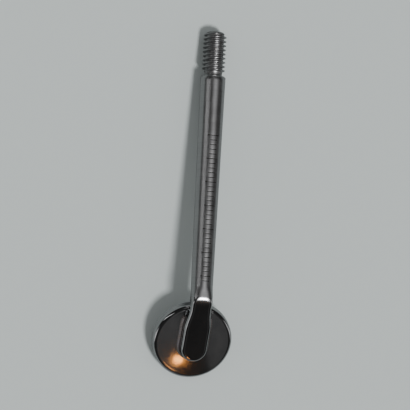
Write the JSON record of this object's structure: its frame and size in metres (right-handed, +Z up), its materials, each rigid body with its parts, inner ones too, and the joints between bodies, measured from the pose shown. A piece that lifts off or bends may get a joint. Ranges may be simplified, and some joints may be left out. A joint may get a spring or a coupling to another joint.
{
  "type": "mouth mirror",
  "caption": "Small round dental mouth mirror head on a bent steel stem with a threaded end, lying with its reflecting face down.",
  "frame": {"origin": "middle of the bottom of the object's bounding box, on the surface that the mirror lies on", "axes": "+Z up; +Y from the mirror along the stem towards the threaded end; +X across the stem, in whose middle plane the object is symmetric apart from the thread"},
  "size_m": [0.0086, 0.037, 0.0061],
  "materials": {
    "stem_steel": "turned and tumbled stainless steel, satin",
    "weld_metal": "laser-welded stainless steel with a faint heat tint",
    "cup_steel": "polished stainless steel",
    "cement": "cured cement, matt",
    "glass": "ground and polished glass",
    "rhodium": "vacuum-deposited front-surface mirror",
    "sealant": "cured edge sealant"
  },
  "bodies": {
    "root": {"threaded_stem": "stem_steel", "weld_bead": "weld_metal", "mirror_cup": "cup_steel", "cement_bed": "cement", "mirror_glass": "glass", "rhodium_coating": "rhodium", "edge_seal": "sealant"}
  },
  "joints": []
}
